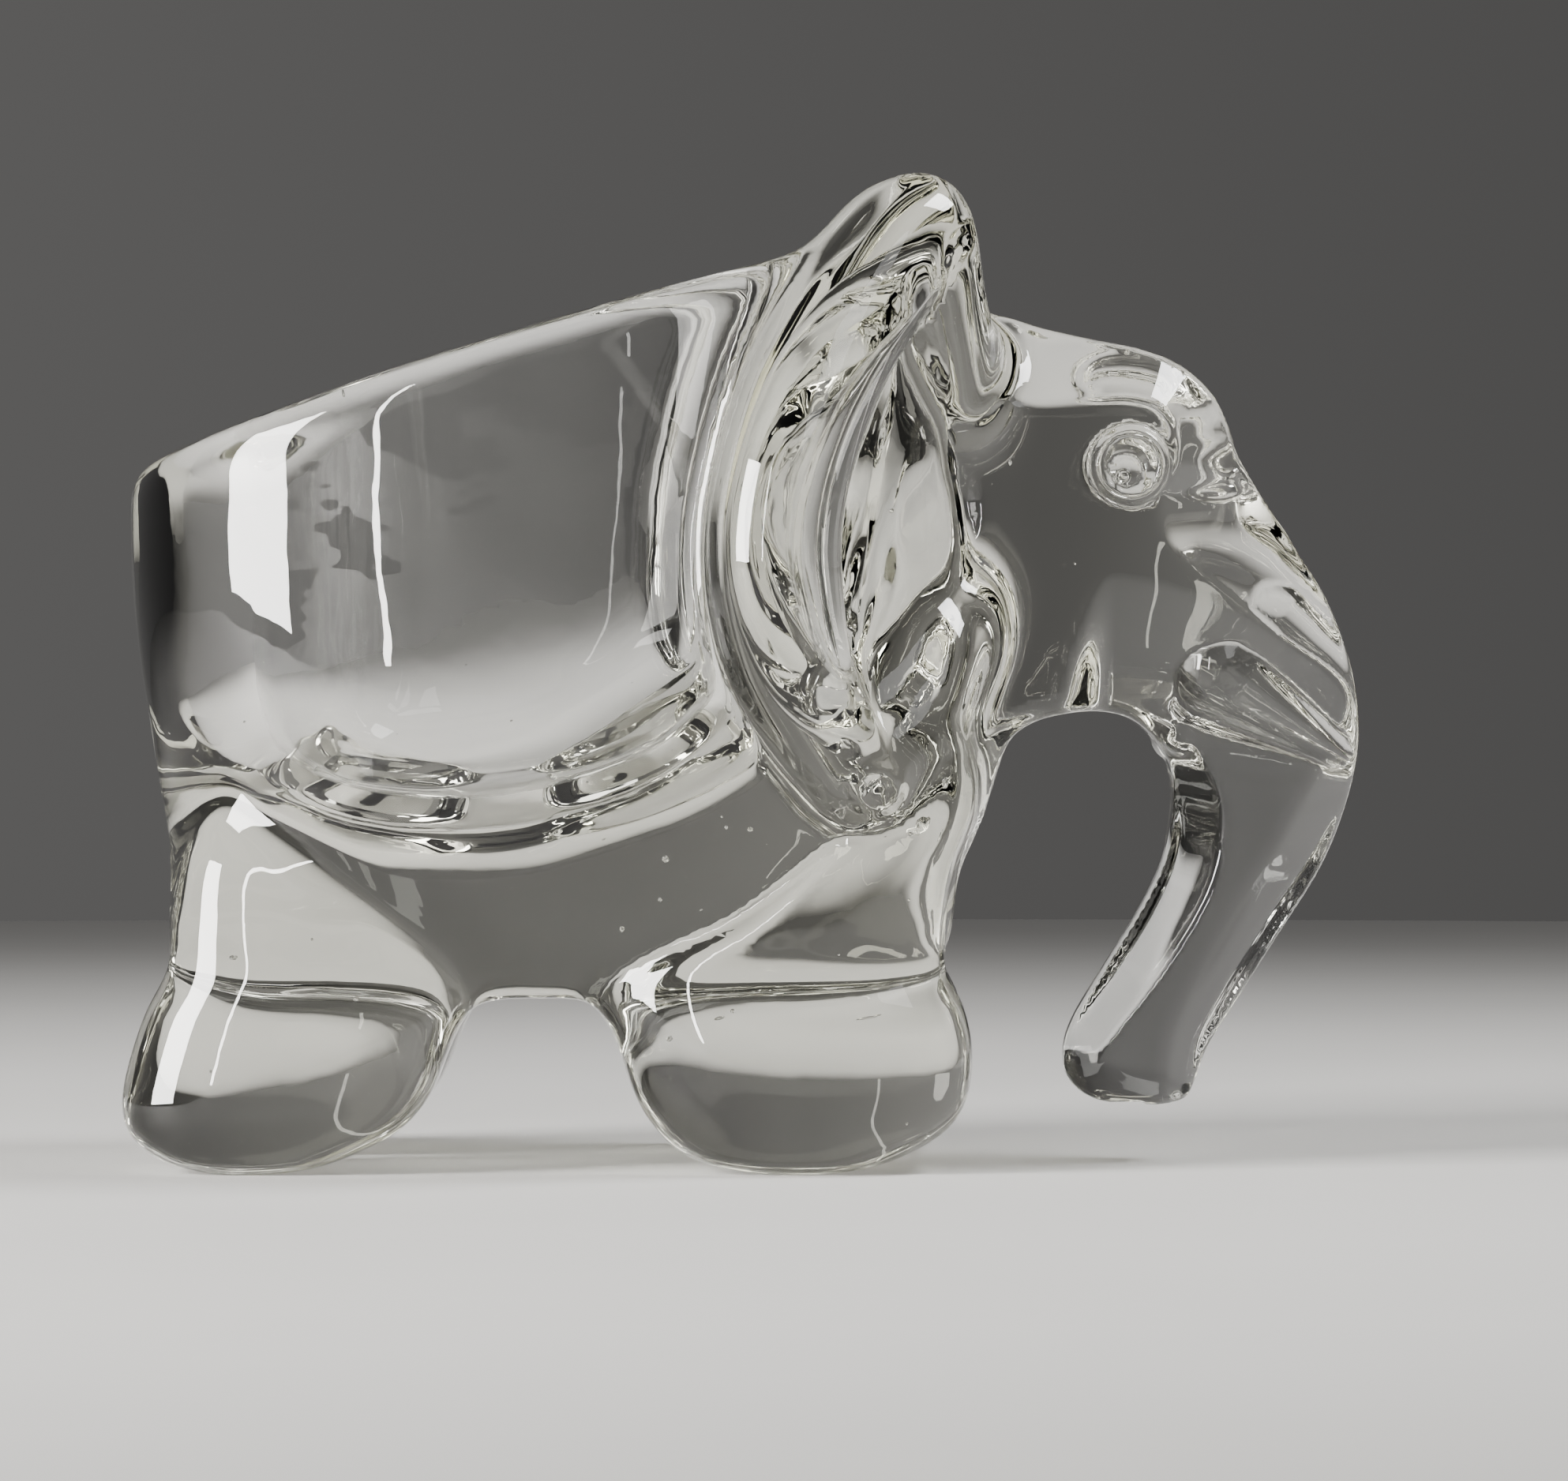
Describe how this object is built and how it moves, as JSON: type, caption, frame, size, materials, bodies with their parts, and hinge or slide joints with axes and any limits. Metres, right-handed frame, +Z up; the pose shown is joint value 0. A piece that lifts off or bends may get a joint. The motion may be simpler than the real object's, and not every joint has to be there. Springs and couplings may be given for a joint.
{
  "type": "glass elephant votive holder",
  "caption": "Clear pressed-glass elephant with an open, hollow back, flared ears, a curled-in trunk and heavy block feet.",
  "frame": {"origin": "on the ground, under the middle of the overall length and width", "axes": "+X towards the head, +Y towards the animal's left, +Z up"},
  "size_m": [0.12, 0.0838, 0.0957],
  "materials": {
    "glass": "clear, fire-polished gloss"
  },
  "bodies": {
    "root": {"bowl": "glass", "head": "glass", "trunk": "glass", "lower_lip": "glass", "ear_left": "glass", "ear_right": "glass", "eye_left": "glass", "eye_right": "glass", "tusk_left": "glass", "tusk_right": "glass", "leg_front_left": "glass", "leg_front_right": "glass", "leg_rear_left": "glass", "leg_rear_right": "glass", "foot_front_left": "glass", "foot_front_right": "glass", "foot_rear_left": "glass", "foot_rear_right": "glass"}
  },
  "joints": []
}
